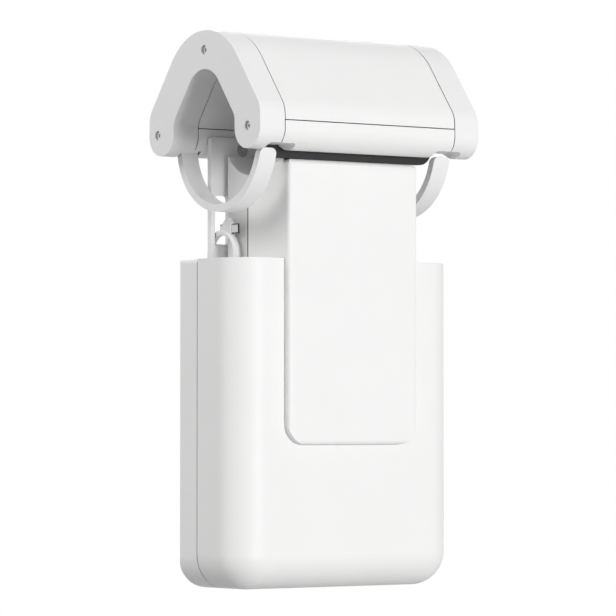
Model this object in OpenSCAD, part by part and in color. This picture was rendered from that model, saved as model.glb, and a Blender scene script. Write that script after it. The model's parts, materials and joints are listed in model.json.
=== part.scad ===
// Curtain robot with an arched saddle on top, a round seat under the arch and a drive wheel in the seat.
// Millimetres. The origin is on the seat's axis at the middle of the robot.
// +X runs along the seat's axis, -Y is the front and +Z is up.

/* [Seat] */
// Radius of the round seat
seat_r = 14.1; // [13.6:0.1:14.4]
// How far the wheel and the rollers stand into the seat
seat_grip = 0.05; // [0.02:0.01:0.08]
// How much wider the middle of the seat is, beside the drive wheel
seat_relief = 0.5; // [0.3:0.1:0.8]

/* [Body] */
// Width of the body
body_w = 88.3; // [84:0.1:96]
// Height of the body below its flat top
body_h = 104.4; // [102:0.1:120]
// Drop from the seat's axis to the body's flat top
body_drop = 41.2; // [40.5:0.1:44]
// Distance from the seat's axis to the body's front face
body_front = 18.8; // [18.8:0.1:22]
// Distance from the seat's axis to the body's back face
body_back = 13.4; // [12.8:0.05:13.6]
// Radius of the body's front and bottom edges
body_r = 11; // [8:0.5:13]
// Radius of the back edges
back_edge_r = 1.6; // [0.8:0.1:2]
// Wall of the shells
wall = 2; // [1.8:0.1:2.2]
// Distance of the body's side seam behind the seat's axis
body_seam_y = 2.85; // [2.4:0.05:3.4]

/* [Front panel] */
// Width of the panel and of the neck behind it
panel_w = 51.8; // [50.8:0.1:52.4]
// How far the panel stands out from the body's face
panel_proud = 2.4; // [2.2:0.1:3]
// Drop from the seat's axis to the panel's top edge
panel_drop = 9.85; // [9.6:0.05:10.5]
// How far the panel runs down over the body's face
panel_reach = 58.8; // [40:0.1:75]
// Radius of the panel's bottom corners
panel_corner_r = 7; // [4:0.5:12]
// Radius of the panel's top corners
panel_top_corner_r = 2; // [1:0.1:4]
// Radius of the panel's front edges
panel_edge_r = 1.4; // [0.6:0.1:1.8]
// Radius of the panel's top front edge
panel_top_r = 2.2; // [1:0.1:2.3]

/* [Neck] */
// Distance of the neck's side seam behind the seat's axis
neck_seam_y = 0.6; // [0:0.1:1.5]
// Gap at the neck's side seam
neck_gap = 0.6; // [0.3:0.05:0.7]
// How far the neck shell's sides are set back from the panel's sides
neck_inset = 0.4; // [0.2:0.1:0.6]
// Drop from the seat's axis to the rims of the seat's trough
trough_drop = 7.5; // [7.2:0.1:8.2]
// Distance from the seat's axis to the front rim of the trough
trough_front = 15.3; // [14.8:0.1:15.5]

/* [Saddle] */
// Length of the saddle along the seat
saddle_len = 87.6; // [86:0.2:92]
// Thickness of an end cap
cap_t = 9.6; // [9:0.1:10]
// Height of the centre of the saddle's top round
saddle_top_z = 9.1; // [8.6:0.1:9.6]
// Radius of the saddle's top round
saddle_top_r = 22; // [21.6:0.1:22.4]
// Radius of the saddle's shoulders
shoulder_r = 8; // [7.5:0.1:8.5]
// Distance of the shoulder's centre from the seat's axis
shoulder_y = 22.1; // [21.8:0.1:22.4]
// Height of the shoulder's centre
shoulder_z = 2.9; // [2.5:0.1:3.2]
// Radius of the legs' round ends
leg_r = 6.75; // [6.65:0.05:6.85]
// Distance of the legs' centres from the seat's axis
leg_y = 23.4; // [23.3:0.05:23.5]
// Drop of the legs' centres below the seat's axis
leg_drop = 0.85; // [0.65:0.05:0.95]
// Thickness of the saddle's arch
arch_t = 12.3; // [12:0.1:12.6]
// Radius of the arch's inner shoulders
arch_shoulder_r = 5; // [4:0.5:6]
// Height of the seam between cover and rails
saddle_seam_z = 1.4; // [1.2:0.1:1.8]

/* [Lip] */
// Distance from the end cap's seam to the dark lip's end
lip_end = 0.9; // [0.6:0.1:4]
// Thickness of the lip
lip_t = 2; // [1.6:0.1:2]
// Drop from the seat's axis to the lip's lower edge
lip_drop = 9.75; // [9.6:0.05:10.2]
// Radius of the lip's lower corners
lip_r = 4.5; // [2:0.5:5]

/* [Rings] */
// Width of a safety ring
ring_w = 6.4; // [5:0.1:6.6]
// Distance of the rings from the middle of the saddle
ring_x = 34.9; // [34.7:0.1:35.2]
// Inner radius of a ring
ring_in_r = 20.5; // [20.2:0.1:20.8]
// Thickness of a ring
ring_t = 2.4; // [2:0.1:2.6]
// Drop of a ring's centre below the seat's axis
ring_drop = 3.3; // [3.1:0.1:3.5]
// Drop of the ring's hinge below the seat's axis
hinge_drop = 4; // [3.9:0.1:4.2]
// Drop of the ring's free end below the seat's axis
tip_drop = 7; // [6.9:0.1:7.3]
// Radius of the ring's free corners
tip_r = 2; // [1:0.1:2.4]
// Room above the ring's free end, in the slot under the front leg
tip_room = 1.3; // [1:0.1:1.5]
// How far that slot runs past the ring, towards the middle
tip_slot_past = 3.7; // [2:0.1:4.5]
// Radius of the hinge pin
hinge_pin_r = 1.2; // [1:0.1:1.3]
// Radius of the ring's hinge eye
eye_r = 2.6; // [2.4:0.1:2.7]

/* [Back plate] */
// Thickness of the back plate
plate_t = 2; // [1.8:0.1:2.4]
// Gap between the seat and the back plate
plate_gap = 0.5; // [0.4:0.1:0.7]
// Width of the strip outside an ear's slot
ear_strip = 1.5; // [1.2:0.1:1.6]
// Drop from the seat's axis to the foot of the plate's thick top
block_drop = 12; // [11:0.5:14]
// Drop from the seat's axis to the foot of the ears
ear_low_drop = 43; // [42.5:0.5:43.5]
// Width of the slot in an ear
ear_slot_w = 5.5; // [4.5:0.1:6]
// Drop from the seat's axis to the slot's upper end
ear_slot_top = 20; // [18:0.5:22]
// Drop from the seat's axis to the slot's lower end
ear_slot_low = 35.6; // [35.5:0.1:36]
// Width of the tongue that slides on the rear cover
tongue_w = 31.6; // [30:0.2:34]
// Drop from the seat's axis to the tongue's lower end
tongue_low = 116; // [114:1:120]
// How far the saddle lifts to open the seat
lift = 26; // [22:0.5:26]

/* [Curtain hooks] */
// Radius of the hook's wire
hook_wire_r = 1.15; // [0.9:0.05:1.2]
// Radius of the hook's bend, at the middle of the wire
hook_bend_r = 7; // [6.8:0.1:7.2]
// Distance of the hook's front leg behind the seat's axis
hook_front_y = 5; // [4.8:0.1:5.2]
// Drop from the seat's axis to the centre of the bend
hook_drop = 39; // [38.9:0.1:39.2]
// Length of the hook's back leg
hook_leg = 18; // [12:0.5:24]
// Width of the pointed finger tab
tab_w = 4.3; // [3:0.1:5]
// Height of the tab's point above the middle of the wire
tab_h = 4.6; // [3.5:0.1:5]

/* [Drive] */
// Throat radius of the drive wheel's tyre
tyre_r = 9.5; // [9:0.1:9.6]
// Width of the drive wheel
wheel_w = 16; // [14:0.2:16]
// Radius of the tyre's hollow
tyre_hollow_r = 18; // [17:0.5:22]
// Radius of the wheel's hub under the tyre
hub_r = 7; // [6.5:0.1:7.4]
// Radius of the wheel's axle
axle_r = 2; // [1.8:0.1:2.2]
// Radius of the other gear shafts
shaft_r = 1.5; // [1.3:0.1:1.6]
// Gear module
gear_m = 0.8; // [0.78:0.01:0.82]
// Teeth of the wheel gear
wheel_teeth = 20; // [20:2:22]
// Teeth of the idler gear
idler_teeth = 24; // [24:2:26]
// Teeth of the output pinion
pinion_teeth = 12; // [12:2:14]
// Width of the gear teeth
gear_t = 3.6; // [3:0.1:3.6]
// Throat radius of an idler roller in the saddle
roller_r = 4.2; // [3.8:0.1:4.4]
// Width of an idler roller
roller_w = 12; // [10:0.2:12]
// Distance of the rollers from the middle of the saddle
roller_x = 21; // [18:0.5:23]
// Radius of a roller's axle
roller_axle_r = 1.25; // [1:0.05:1.4]

/* [Springs] */
// Distance of the guide rods from the middle
guide_x = 17; // [16.8:0.1:17.4]
// Radius of a guide rod
guide_r = 1.2; // [1:0.1:1.3]
// Radius of a spring, at the middle of its wire
spring_r = 2.5; // [2.3:0.1:2.6]
// Radius of the spring wire
spring_wire_r = 0.4; // [0.3:0.05:0.45]
// Turns of a spring
spring_turns = 14; // [10:1:18]
// Drop from the seat's axis to the springs' upper ends
spring_drop = 20; // [19:0.5:21]
// Drop from the body's top to the crosshead's lower face
crosshead_drop = 34.8; // [34:0.2:36]

/* [Electronics] */
// Radius of a battery cell
cell_r = 9.2; // [8.8:0.1:9.3]
// Length of a battery cell
cell_h = 65; // [60:0.5:65]
// Distance from the body's side to the middle of a cell
cell_side = 19.65; // [19.5:0.05:20.5]
// Thickness of the circuit board
board_t = 1.6; // [1.2:0.1:1.8]
// Radius of the push button
button_r = 2.6; // [2:0.1:2.8]
// Travel of the push button
button_travel = 0.6; // [0.3:0.1:0.8]

/* [Fits] */
// Gap at the seams between shells
seam = 0.3; // [0.15:0.05:0.3]
// Gap beside a sliding or swinging piece
slide_gap = 0.3; // [0.25:0.05:0.35]
// Gap round a turning shaft
run_gap = 0.05; // [0.03:0.01:0.08]
// Gap round a seated pin
pin_gap = 0.02; // [0.01:0.01:0.03]

/* [Hidden] */
$fn = 48;
eps = 0.5;
far = 50;

body_hw = body_w / 2;
body_top = -body_drop;
body_low = body_top - body_h;
panel_hw = panel_w / 2;
panel_y = -body_front - panel_proud;
panel_in_y = panel_y + wall;
neck_in_x = panel_hw - wall - neck_inset;
neck_back_in = body_back - wall;

saddle_hx = saddle_len / 2;
cover_hx = saddle_hx - cap_t - seam;
leg_in_y = leg_y - leg_r;
arch_circles = [
    [leg_y, -leg_drop, leg_r], [shoulder_y, shoulder_z, shoulder_r], [0, saddle_top_z, saddle_top_r],
    [-shoulder_y, shoulder_z, shoulder_r], [-leg_y, -leg_drop, leg_r]
];
slope = tangent_normal(arch_circles[1], arch_circles[2]);
arch_top_r = saddle_top_r - arch_t;
arch_shoulder_y = leg_in_y - arch_shoulder_r;
arch_shoulder_z =
    (slope[1] * saddle_top_z + arch_top_r - arch_shoulder_r - slope[0] * arch_shoulder_y) / slope[1];

lip_hw = cover_hx - lip_end;
lip_y0 = -leg_in_y - seam - lip_t;
lip_top = saddle_seam_z - 1 - seam;
ring_out_r = ring_in_r + ring_t;
hinge_y = sqrt(pow(ring_in_r + ring_t / 2, 2) - pow(hinge_drop - ring_drop, 2));
tip_slot_in = ring_x - ring_w / 2 - tip_slot_past;
tip_slot_out = ring_x + ring_w / 2 + 2 * slide_gap;
pocket_hw = ring_w / 2 + slide_gap + 0.2;

plate_y = seat_r + plate_gap;
plate_back = plate_y + plate_t;
hook_x = panel_hw + slide_gap + hook_wire_r + 0.1;
slot_out_x = hook_x + hook_wire_r + slide_gap;
slot_in_x = slot_out_x - ear_slot_w;
ear_hw = slot_out_x + ear_strip;
slot_bar_y = plate_y + plate_t / 2;
slot_bar_z = -ear_slot_low - plate_t / 2;
plate_top_hw = ring_x - pocket_hw - 4.2;
plate_block_y = plate_back + 3.4;
plate_block_top = -leg_drop - 0.35;
plate_screw_side = 9;
plate_screw_x = plate_top_hw - plate_screw_side;
plate_screw_z = plate_block_top - 3.8;
plate_screw_r = 1.1;
plate_screw_len = 5.5;
plate_head_t = 1.4;
plate_head_y = plate_y + plate_head_t + 0.2;
tongue_hw = tongue_w / 2;
tongue_lap = 5;
plate_corner_r = 4;
guide_strip_t = 2;
guide_foot_w = 2.2;
guide_strip_low = body_low + 5;
guide_strip_top = -ear_low_drop - 2;
screw_slot_x = 8;
shoulder_screw_in = 3.5;
shoulder_head_y = plate_back + slide_gap;
shoulder_head_r = 4.2;
shoulder_head_t = 1.5;
shoulder_socket_r = 1.2;
shoulder_socket = 0.8;
collar_r = 2.6;
collar_room = collar_r + slide_gap;
crosshead_z = body_top - crosshead_drop;
crosshead_h = 4;
screw_slot_z = crosshead_z - 8;
crosshead_boss_hw = 3.6;
guide_y = neck_back_in - spring_r - spring_wire_r - slide_gap;
foot_hw = spring_r + 0.7;
foot_z = crosshead_z - 2 * crosshead_h;
spring_top = -spring_drop;
spring_low = crosshead_z + crosshead_h;
hook_y = hook_front_y + hook_bend_r;

wheel_z = seat_grip - seat_r - tyre_r;
idler_z = wheel_z - gear_m * (wheel_teeth + idler_teeth) / 2;
pinion_z = idler_z - gear_m * (idler_teeth + pinion_teeth) / 2;
wheel_hy = wheel_w / 2;
gear_y1 = -wheel_hy - 1;
gear_y0 = gear_y1 - gear_t;
front_plate_y1 = gear_y0 - 0.6;
front_plate_y0 = front_plate_y1 - 2.2;
rear_plate_y0 = wheel_hy + 0.5;
rear_plate_y1 = neck_back_in - 0.15;
chassis_in_x = rim_r(tyre_r, wheel_w) + 0.6;
chassis_hw = chassis_in_x + 1.6;
relief_hx = chassis_in_x + 0.8;
gearbox_y0 = gear_y1 + 0.5;
gearbox_y1 = 6;
gearbox_top = pinion_z + 8;
gearbox_low = pinion_z - 10;
gearbox_hw = 9;
gearbox_flange_hw = 11;
gearbox_flange_drop = 4;
pinion_in = 5.5;
motor_len = 29;
motor_r = 8;
motor_flat = 6;
motor_y = gearbox_y1 - 7;
roller_z = seat_r - seat_grip + roller_r;
roller_room = rim_r(roller_r, roller_w) + 0.6;
cheek_y = roller_w / 2 + 2.2;
bush_r = axle_r + 1;
arm_low = 9;
arm_top = 3;

cell_x = body_hw - cell_side;
cell_y = -body_front + wall + cell_r + 1.4;
cell_low = body_low + body_r + 1.6;
board_y = cell_y + cell_r + 2.3;
flange_t = 1;
board_low = body_low + wall + flange_t + button_travel + 0.4;
board_top = crosshead_z - 24;
board_hw = body_hw - 10.15;
board_low_r = 9;
board_top_r = 2;
chip_w = 8;
chip_t = 1.4;
chip_x = -12;
chip_drop = 14;
driver_w = 12;
driver_h = 16;
driver_t = 2;
driver_x = 12;
driver_drop = 10;
port_y = board_y + board_t + 1.6;
button_y = (body_seam_y + seam + neck_back_in) / 2;
button_x = 16;
light_x = -14;
light_r = 1.2;
screw_x = body_hw - 6.5;
screw_top_in = 9;
screw_low_in = body_r + 2;
screw_zs = [body_top - screw_top_in, body_low + screw_low_in];
screw_r = 1.4;
screw_boss_r = 3.6;
screw_head_r = 2.5;
screw_sink = 2.4;
screw_tip_y = -body_front + body_r / 2 + 4;
cap_screw_in = 6.2;
cap_screw_r = 0.9;
cap_head_r = 1.4;
cap_sink = 2.4;

// Outward normal of the line that touches circles a and b, going anticlockwise
function tangent_normal(a, b) =
    let (d = [b[0] - a[0], b[1] - a[1]], u = d / norm(d), k = (a[2] - b[2]) / norm(d), s = sqrt(1 - k * k))
    [u[0] * k + u[1] * s, u[1] * k - u[0] * s];

// Flat outline round a list of circles [x, y, r], anticlockwise, with true arcs
module belt(circles) {
    n = len(circles);
    points = [
        for (i = [0 : n - 1])
            let (c = circles[i], p = [c[0], c[1]])
            let (before = tangent_normal(circles[(i + n - 1) % n], c))
            let (after = tangent_normal(c, circles[(i + 1) % n]))
            each c[2] > 0 ? [p + c[2] * before, p + c[2] * after] : [p]
    ];
    polygon(points);
    for (c = circles)
        if (c[2] > 0)
            translate([c[0], c[1]]) circle(r = c[2]);
}

// Rounded rectangle from [x0, y0] to [x1, y1] with radius low at the bottom and high at the top
module round_rect(x0, x1, y0, y1, low, high) {
    belt([[x0 + low, y0 + low, low], [x1 - low, y0 + low, low], [x1 - high, y1 - high, high],
        [x0 + high, y1 - high, high]]);
}

module along_x(x0, x1) {
    translate([x0, 0, 0]) rotate([90, 0, 90]) linear_extrude(x1 - x0) children();
}

module along_y(y0, y1) {
    translate([0, y1, 0]) rotate([90, 0, 0]) linear_extrude(y1 - y0) children();
}

module along_z(z0, z1) {
    translate([0, 0, z0]) linear_extrude(z1 - z0) children();
}

module pin_x(y, z, x0, x1, r) {
    translate([x0, y, z]) rotate([0, 90, 0]) cylinder(r = r, h = x1 - x0);
}

module pin_y(x, z, y0, y1, r) {
    translate([x, y1, z]) rotate([90, 0, 0]) cylinder(r = r, h = y1 - y0);
}

module pin_z(x, y, z0, z1, r) {
    translate([x, y, z0]) cylinder(r = r, h = z1 - z0);
}

module block(x0, x1, y0, y1, z0, z1) {
    translate([x0, y0, z0]) cube([x1 - x0, y1 - y0, z1 - z0]);
}

module both_sides() {
    children();
    mirror([1, 0, 0]) children();
}

// Body form: round front and bottom edges, flat top, open towards the back
module pebble(hw, y0, y1, z0, z1, r) {
    xs = hw - r;
    yc = y0 + r;
    zc = z0 + r;
    intersection() {
        block(-hw, hw, y0, y1, z0, z1);
        union() {
            block(-xs, xs, y0, y1, zc, z1);
            block(-hw, hw, yc, y1, zc, z1);
            block(-xs, xs, yc, y1, z0, zc);
            pin_x(yc, zc, -xs, xs, r);
            both_sides() {
                translate([xs, yc, zc]) sphere(r);
                pin_z(xs, yc, zc, z1, r);
                pin_y(xs, zc, yc, y1, r);
            }
        }
    }
}

// Half the angle of a tooth at radius r, on a gear of base radius rb
function tooth_half(r, rb, at_base) =
    let (a = acos(min(1, rb / r))) at_base - (tan(a) * 180 / PI - a);

// Flat involute gear with stub teeth, one tooth on the +X axis
module gear_outline(teeth) {
    pressure = 25;
    play = 0.06;
    rp = gear_m * teeth / 2;
    rb = rp * cos(pressure);
    tip = rp + 0.8 * gear_m;
    root = rp - 1.1 * gear_m;
    at_base = 90 / teeth - play / rp * 180 / PI + tan(pressure) * 180 / PI - pressure;
    start = max(rb, root);
    flank = [for (k = [0 : 3]) start + (tip - start) * k / 3];
    radii = root < rb ? concat([root], flank) : flank;
    n = len(radii);
    polygon([
        for (i = [0 : teeth - 1], k = [0 : 2 * n - 1])
            let (r = radii[k < n ? k : 2 * n - 1 - k], side = k < n ? -1 : 1)
            let (angle = 360 * i / teeth + side * tooth_half(max(r, rb), rb, at_base))
            [r * cos(angle), r * sin(angle)]
    ]);
}

// Places a gear's outline on an axis along Y at height z, with a tooth at the given angle
module gear_y(teeth, z, angle) {
    along_y(gear_y0, gear_y1) translate([0, z]) rotate(angle) gear_outline(teeth);
}

// Rim radius of a wheel that is hollowed to the seat
function rim_r(throat, width) = throat + tyre_hollow_r - sqrt(pow(tyre_hollow_r, 2) - pow(width / 2, 2));

// Wheel along Y, hollowed to the seat, with its throat radius, width and bore
module hollow_wheel(throat, width, bore) {
    rotate([90, 0, 0])
        difference() {
            cylinder(r = rim_r(throat, width), h = width, center = true);
            rotate_extrude() translate([throat + tyre_hollow_r, 0]) circle(r = tyre_hollow_r, $fn = 96);
            cylinder(r = bore, h = width + 2, center = true);
        }
}

// Flat section of the saddle across the seat's axis, grown inwards by skin
module saddle_section(skin) {
    difference() {
        belt([for (c = arch_circles) [c[0], c[1], c[2] - skin]]);
        belt([
            [leg_in_y + skin, -leg_drop - leg_r - 4, 0],
            [arch_shoulder_y, arch_shoulder_z, arch_shoulder_r + skin],
            [0, saddle_top_z, arch_top_r + skin],
            [-arch_shoulder_y, arch_shoulder_z, arch_shoulder_r + skin],
            [-leg_in_y - skin, -leg_drop - leg_r - 4, 0]
        ]);
        difference() {
            translate([-leg_y, -leg_drop - 2 * leg_r]) square([2 * leg_y, 2 * leg_r]);
            for (s = [-1, 1])
                translate([s * leg_y, -leg_drop]) circle(r = leg_r - skin);
        }
    }
}

module half_section(top, front) {
    intersection() {
        saddle_section(0);
        if (top)
            translate([-far, saddle_seam_z + seam / 2]) square([2 * far, far]);
        else
            translate([front ? -far : 0, saddle_seam_z - seam / 2 - far]) square([far, far]);
    }
}

// Slot under the front leg for a ring's free end
module tip_slot() {
    both_sides()
        along_y(-leg_y - leg_r - eps, -leg_in_y + eps)
            round_rect(tip_slot_in, tip_slot_out, -far, tip_room - tip_drop, 0, tip_room);
}

// Room for a ring's hinge and its swing in the rear leg
module hinge_pocket() {
    both_sides() {
        pin_x(hinge_y, -hinge_drop, ring_x - pocket_hw, ring_x + pocket_hw, eye_r + slide_gap + 0.2);
        block(ring_x - pocket_hw, ring_x + pocket_hw, hinge_y - eye_r - slide_gap, hinge_y + eye_r + 2.4,
            -leg_drop - leg_r - 2, -hinge_drop);
        pin_x(hinge_y, -hinge_drop, ring_x - 6, ring_x + 6, hinge_pin_r + pin_gap);
    }
}

// Places of the cap screws across the seat's axis
screw_spots = [
    [0, saddle_top_z + saddle_top_r - cap_screw_in],
    [-leg_y, 0.35 - leg_drop],
    [leg_y + 2.1, -leg_drop]
];

module cap_screw_holes() {
    both_sides()
        for (p = screw_spots)
            pin_x(p[0], p[1], saddle_hx - cap_t - 6, saddle_hx + eps, cap_screw_r + run_gap);
}

module front_shell() {
    color("white")
    difference() {
        union() {
            difference() {
                pebble(body_hw, -body_front, body_seam_y, body_low, body_top, body_r);
                pebble(body_hw - wall, -body_front + wall, body_seam_y + eps, body_low + wall,
                    body_top - wall, body_r - wall);
            }
            intersection() {
                pebble(body_hw, -body_front, body_seam_y, body_low, body_top, body_r);
                both_sides()
                    for (z = screw_zs)
                        pin_y(screw_x, z, -body_front, body_seam_y, screw_boss_r);
            }
        }
        block(-neck_in_x, neck_in_x, -body_front + wall, body_seam_y + eps,
            body_top - wall - eps, body_top + eps);
        both_sides()
            for (z = screw_zs)
                pin_y(screw_x, z, screw_tip_y - 1, body_seam_y + eps, screw_r + run_gap);
    }
}

module rear_outline(inset) {
    round_rect(-body_hw + inset, body_hw - inset, body_low + inset, body_top - inset, body_r - inset,
        max(0.8, back_edge_r - inset));
}

module rear_cover() {
    y0 = body_seam_y + seam;
    boss_in_y = neck_back_in - 4;
    color("white")
    difference() {
        union() {
            difference() {
                intersection() {
                    along_y(y0, body_back) rear_outline(0);
                    along_z(body_low, body_top)
                        belt([[-body_hw, y0, 0], [body_hw, y0, 0],
                            [body_hw - back_edge_r, body_back - back_edge_r, back_edge_r],
                            [back_edge_r - body_hw, body_back - back_edge_r, back_edge_r]]);
                    along_x(-body_hw, body_hw)
                        belt([[y0, body_low, 0],
                            [body_back - back_edge_r, body_low + back_edge_r, back_edge_r],
                            [body_back - 0.8, body_top - 0.8, 0.8], [y0, body_top, 0]]);
                }
                along_y(y0 - eps, neck_back_in) rear_outline(wall);
            }
            both_sides() {
                for (z = screw_zs)
                    pin_y(screw_x, z, y0, neck_back_in + eps, screw_boss_r);
                pin_y(screw_slot_x, screw_slot_z, boss_in_y, neck_back_in + eps, 2 * screw_r);
                block(guide_x - foot_hw, guide_x + foot_hw, guide_y - foot_hw, neck_back_in + eps,
                    foot_z, foot_z + crosshead_h);
                block(tongue_hw - guide_foot_w, tongue_hw + slide_gap - run_gap,
                    body_back - eps, plate_y - slide_gap, guide_strip_low, guide_strip_top);
                for (z = [board_low + 5, board_top - 5])
                    pin_y(board_hw - 5, z, board_y + board_t, neck_back_in + eps, 2.5);
            }
        }
        block(-neck_in_x, neck_in_x, y0 - eps, neck_back_in, body_top - wall - eps, body_top + eps);
        block(-crosshead_boss_hw - slide_gap, crosshead_boss_hw + slide_gap,
            neck_back_in - eps, body_back + eps,
            crosshead_z - slide_gap, crosshead_z + crosshead_h + lift + slide_gap);
        along_z(body_low - eps, body_low + wall + eps)
            round_rect(-4.7, 4.7, port_y - 1.8, port_y + 1.8, 1.7, 1.7);
        pin_z(button_x, button_y, body_low - eps, body_low + wall + eps, button_r + slide_gap);
        pin_z(light_x, button_y, body_low - eps, body_low + wall + eps, light_r + pin_gap);
        both_sides() {
            pin_y(screw_slot_x, screw_slot_z, boss_in_y - eps, body_back + eps, screw_r + run_gap);
            pin_z(guide_x, guide_y, foot_z - eps, foot_z + crosshead_h + eps, guide_r + pin_gap);
            for (z = screw_zs) {
                pin_y(screw_x, z, y0 - eps, body_back + eps, screw_r + run_gap);
                pin_y(screw_x, z, body_back - screw_sink, body_back + eps, screw_head_r + slide_gap);
            }
        }
    }
}

module front_panel() {
    panel_low = body_top - panel_reach;
    color("white")
    difference() {
        intersection() {
            union() {
                along_y(panel_y, -body_front)
                    round_rect(-panel_hw, panel_hw, panel_low, -panel_drop, panel_corner_r,
                        panel_top_corner_r);
                along_y(-body_front, neck_seam_y)
                    round_rect(-panel_hw, panel_hw, body_top - 10, -panel_drop, 1, panel_top_corner_r);
            }
            along_z(panel_low, -panel_drop)
                belt([[-panel_hw + panel_edge_r, panel_y + panel_edge_r, panel_edge_r],
                    [panel_hw - panel_edge_r, panel_y + panel_edge_r, panel_edge_r],
                    [panel_hw, neck_seam_y, 0], [-panel_hw, neck_seam_y, 0]]);
            along_x(-panel_hw, panel_hw)
                belt([[panel_y + panel_edge_r, panel_low + panel_edge_r, panel_edge_r],
                    [neck_seam_y, panel_low, 0], [neck_seam_y, -panel_drop, 0],
                    [panel_y + panel_top_r, -panel_drop - panel_top_r, panel_top_r]]);
        }
        block(-panel_hw - eps, panel_hw + eps, -body_front, neck_seam_y + eps, panel_low, body_top);
        difference() {
            block(-panel_hw + wall, panel_hw - wall, panel_in_y, neck_seam_y + eps,
                body_top, -panel_drop + eps);
            both_sides()
                pin_y(chassis_in_x - 1.5, idler_z + 12, panel_in_y - eps, front_plate_y0, 2.4);
        }
        block(-panel_hw - eps, panel_hw + eps, panel_in_y, lip_y0 + lip_t + slide_gap,
            -lip_drop - slide_gap, 0);
        pin_x(0, 0, -panel_hw - eps, panel_hw + eps, seat_r + seat_relief);
    }
}

module neck_shell() {
    hw = panel_hw - neck_inset;
    y0 = neck_seam_y + neck_gap;
    color("gainsboro")
    difference() {
        union() {
            along_z(body_top, -trough_drop)
                belt([[-hw, y0, 0], [hw, y0, 0], [hw - back_edge_r, body_back - back_edge_r, back_edge_r],
                    [back_edge_r - hw, body_back - back_edge_r, back_edge_r]]);
            block(slide_gap - panel_hw + wall, panel_hw - wall - slide_gap, -trough_front, y0 + eps,
                -seat_r - wall - 2, -trough_drop);
        }
        pin_x(0, 0, -panel_hw - eps, panel_hw + eps, seat_r);
        pin_x(0, 0, -relief_hx, relief_hx, seat_r + seat_relief);
        difference() {
            block(-neck_in_x, neck_in_x, -trough_front - eps, neck_back_in,
                body_top - eps, -trough_drop - wall);
            pin_x(0, 0, -panel_hw - eps, panel_hw + eps, seat_r + wall);
            both_sides()
                pin_z(guide_x, guide_y, spring_top, -trough_drop, spring_r + spring_wire_r);
        }
        block(-chassis_in_x, chassis_in_x, -wheel_hy - 0.6, wheel_hy + 0.6, -seat_r - wall - 3, 0);
        both_sides()
            pin_z(guide_x, guide_y, spring_top - eps, spring_top + 3, guide_r + pin_gap);
    }
}

module drive_chassis() {
    top = -seat_r - wall - 0.6;
    low = pinion_z - 8;
    color("dimgray")
    difference() {
        union() {
            along_y(front_plate_y0, front_plate_y1)
                round_rect(-chassis_hw, chassis_hw, low, top, 3, 3);
            along_y(rear_plate_y0, rear_plate_y1)
                round_rect(-chassis_hw, chassis_hw, wheel_z - 11, top, 3, 3);
            both_sides() {
                block(chassis_in_x, chassis_hw, front_plate_y0 + eps, rear_plate_y1 - eps,
                    wheel_z - arm_low, wheel_z - arm_top);
                pin_y(8.5, low + 2.5, front_plate_y1 - eps, gearbox_y0, 2);
            }
        }
        pin_y(0, wheel_z, front_plate_y0 - eps, rear_plate_y1 + eps, bush_r + pin_gap);
        pin_y(0, idler_z, front_plate_y0 - eps, front_plate_y1 + eps, shaft_r + pin_gap);
        pin_y(0, pinion_z, front_plate_y0 - eps, front_plate_y1 + eps, shaft_r + run_gap);
    }
}

module gearbox_case() {
    color("silver")
    difference() {
        union() {
            along_y(gearbox_y0 + 1, gearbox_y1)
                round_rect(-gearbox_hw, gearbox_hw, gearbox_low, gearbox_top, 2, 3);
            along_y(gearbox_y0, gearbox_y0 + 2)
                round_rect(-gearbox_flange_hw, gearbox_flange_hw, gearbox_low,
                    gearbox_top - gearbox_flange_drop, 2, 4);
        }
        pin_y(0, pinion_z, gearbox_y0 - eps, gearbox_y0 + pinion_in + eps, shaft_r + run_gap);
    }
}

module motor_can() {
    color("lightgray")
    union() {
        intersection() {
            pin_z(0, motor_y, gearbox_low - motor_len, gearbox_low, motor_r);
            block(-motor_r, motor_r, motor_y - motor_flat, motor_y + motor_flat,
                gearbox_low - motor_len, gearbox_low);
        }
        pin_z(0, motor_y, gearbox_low - motor_len - 1.6, gearbox_low - motor_len, 2.6);
    }
}

module idler_pin() {
    color("silver")
    union() {
        pin_y(0, idler_z, front_plate_y0, gear_y1 + 0.4, shaft_r);
        pin_y(0, idler_z, front_plate_y0 - 0.8, front_plate_y0, shaft_r + 1);
    }
}

module axle_bushes() {
    color("goldenrod")
    for (y = [[front_plate_y0, front_plate_y1], [rear_plate_y0, rear_plate_y1]])
        difference() {
            pin_y(0, wheel_z, y[0], y[1], bush_r);
            pin_y(0, wheel_z, y[0] - eps, y[1] + eps, axle_r + run_gap);
        }
}

module battery_tray() {
    color("whitesmoke")
    difference() {
        block(-cell_x - cell_r, cell_x + cell_r, -body_front + wall + run_gap, cell_y - 3,
            cell_low - 1.6, cell_low + cell_h + 1.6);
        both_sides()
            pin_z(cell_x, cell_y, cell_low - 0.2, cell_low + cell_h + 0.2, cell_r + pin_gap);
        block(-12, 12, -body_front - eps, cell_y, cell_low + 10, cell_low + cell_h + 5);
    }
}

module battery_cells() {
    color("steelblue")
    both_sides() {
        pin_z(cell_x, cell_y, cell_low, cell_low + cell_h - 1.5, cell_r);
        pin_z(cell_x, cell_y, cell_low + cell_h - 1.5, cell_low + cell_h, 3);
    }
}

// Block on the back of the board, drop below its upper edge
module on_board(x, w, h, t, drop) {
    y = board_y + board_t;
    block(x - w / 2, x + w / 2, y, y + t, board_top - drop - h, board_top - drop);
}

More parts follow.
